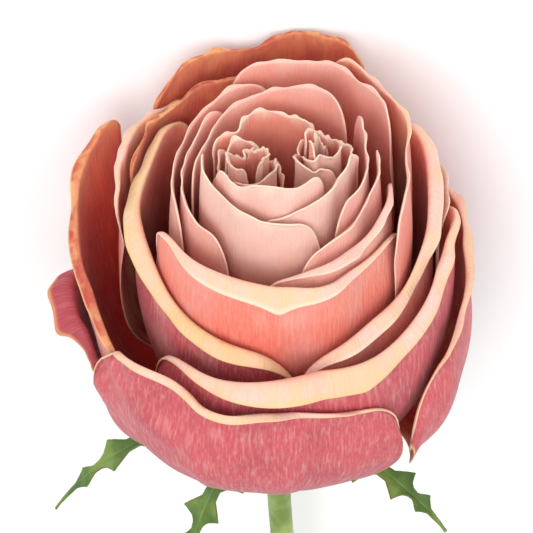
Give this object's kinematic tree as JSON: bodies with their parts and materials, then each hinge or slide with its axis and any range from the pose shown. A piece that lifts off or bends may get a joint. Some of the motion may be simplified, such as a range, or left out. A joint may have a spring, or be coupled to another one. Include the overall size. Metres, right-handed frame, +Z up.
{
  "type": "cut rose",
  "caption": "Full cupped rose bloom with reflexed guard petals, leafy sepals, a hip and a bare cut stem, lying on its side.",
  "frame": {"origin": "on the surface the rose lies on, under the middle of its box", "axes": "+Z up from the surface, -Y the way the bloom faces, +Y towards the cut end of the stem"},
  "size_m": [0.0892, 0.2508, 0.0693],
  "materials": {
    "heart_petal": "satin",
    "cup_petal": "satin",
    "guard_petal": "satin",
    "sepal": "satin",
    "hip": "satin",
    "stem": "satin"
  },
  "bodies": {
    "root": {"petal_swirl_left_1": "heart_petal", "petal_swirl_left_2": "heart_petal", "petal_swirl_left_3": "heart_petal", "petal_swirl_left_4": "heart_petal", "petal_swirl_left_5": "heart_petal", "petal_swirl_right_1": "heart_petal", "petal_swirl_right_2": "heart_petal", "petal_swirl_right_3": "heart_petal", "petal_swirl_right_4": "heart_petal", "petal_heart_inner_back": "heart_petal", "petal_heart_inner_front": "heart_petal", "petal_heart_front": "heart_petal", "petal_heart_left": "heart_petal", "petal_cup_back": "cup_petal", "petal_cup_right": "cup_petal", "petal_cup_left": "cup_petal", "petal_fold_right": "cup_petal", "petal_cup_outer_left": "cup_petal", "petal_cup_front": "cup_petal", "petal_back_main": "cup_petal", "petal_front_broad": "cup_petal", "petal_back_right": "cup_petal", "petal_wrap_left": "cup_petal", "petal_back_left": "cup_petal", "petal_wrap_right": "cup_petal", "petal_shoulder_left": "guard_petal", "petal_shoulder_right": "guard_petal", "petal_guard_back": "guard_petal", "petal_guard_front": "guard_petal", "petal_guard_left": "guard_petal", "petal_guard_point": "guard_petal", "petal_guard_low": "guard_petal", "petal_guard_under": "guard_petal", "hip": "hip", "stem": "stem", "sepal_left": "sepal", "sepal_front": "sepal", "sepal_right": "sepal", "sepal_back_right": "sepal", "sepal_back_left": "sepal"}
  },
  "joints": []
}
